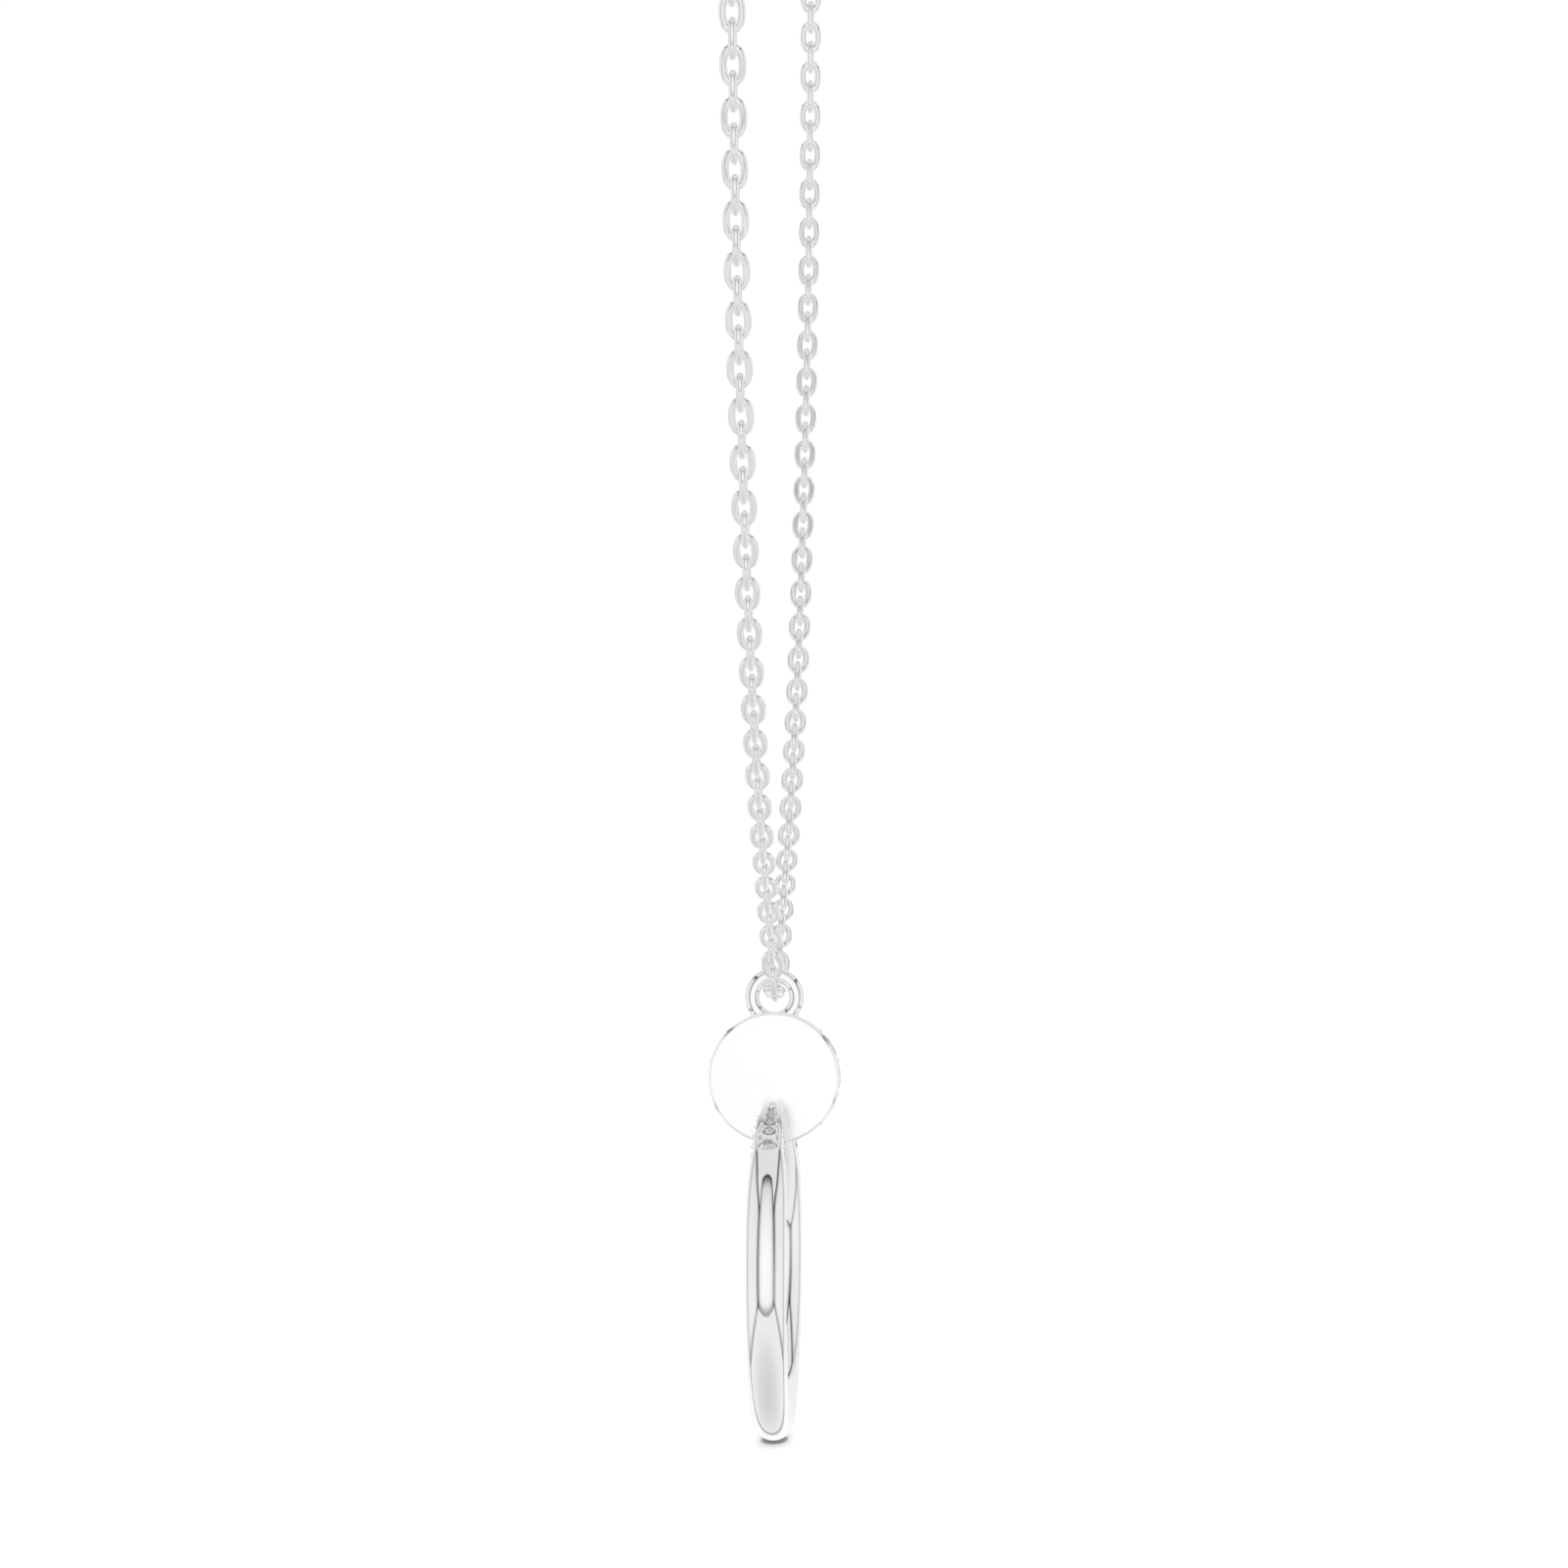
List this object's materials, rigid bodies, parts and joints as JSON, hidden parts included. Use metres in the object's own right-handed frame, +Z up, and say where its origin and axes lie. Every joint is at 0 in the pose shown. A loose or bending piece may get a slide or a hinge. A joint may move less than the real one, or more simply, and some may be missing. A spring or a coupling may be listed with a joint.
{
  "type": "circle pendant necklace",
  "caption": "Round hoop pendant with stone-set tapered ends meeting a small upright disc, hung by a soldered loop on a fine cable chain.",
  "frame": {"origin": "middle of the clasp ring, where the chain lies on the back of the neck", "axes": "+Z up, -Y to the front, X along the disc's axis and across the wearer"},
  "size_m": [0.093, 0.0084, 0.2131],
  "materials": {
    "polished_silver": "mirror polished white precious metal",
    "chain_silver": "polished white precious metal links",
    "cut_stone": "clear colourless cut stone"
  },
  "bodies": {
    "necklace": {"chain": "chain_silver", "clasp": "chain_silver"},
    "pendant": {"pendant_frame": "polished_silver", "disc_back_stone_1": "cut_stone", "disc_back_stone_2": "cut_stone", "disc_back_stone_3": "cut_stone", "disc_front_stone_1": "cut_stone", "disc_front_stone_2": "cut_stone", "disc_front_stone_3": "cut_stone", "left_back_stone_1": "cut_stone", "left_back_stone_2": "cut_stone", "left_back_stone_3": "cut_stone", "left_back_stone_4": "cut_stone", "left_back_stone_5": "cut_stone", "left_front_stone_1": "cut_stone", "left_front_stone_2": "cut_stone", "left_front_stone_3": "cut_stone", "left_front_stone_4": "cut_stone", "left_front_stone_5": "cut_stone", "left_outer_stone_1": "cut_stone", "left_outer_stone_2": "cut_stone", "left_outer_stone_3": "cut_stone", "left_outer_stone_4": "cut_stone", "left_outer_stone_5": "cut_stone", "right_back_stone_1": "cut_stone", "right_back_stone_2": "cut_stone", "right_back_stone_3": "cut_stone", "right_back_stone_4": "cut_stone", "right_back_stone_5": "cut_stone", "right_front_stone_1": "cut_stone", "right_front_stone_2": "cut_stone", "right_front_stone_3": "cut_stone", "right_front_stone_4": "cut_stone", "right_front_stone_5": "cut_stone", "right_outer_stone_1": "cut_stone", "right_outer_stone_2": "cut_stone", "right_outer_stone_3": "cut_stone", "right_outer_stone_4": "cut_stone", "right_outer_stone_5": "cut_stone"}
  },
  "joints": [
    {"name": "pendant_swing", "type": "hinge", "parent": "necklace", "child": "pendant", "pos_m": [0, 0, -0.1826], "axis": [1, 0, 0], "range_deg": [-90, 90]}
  ]
}
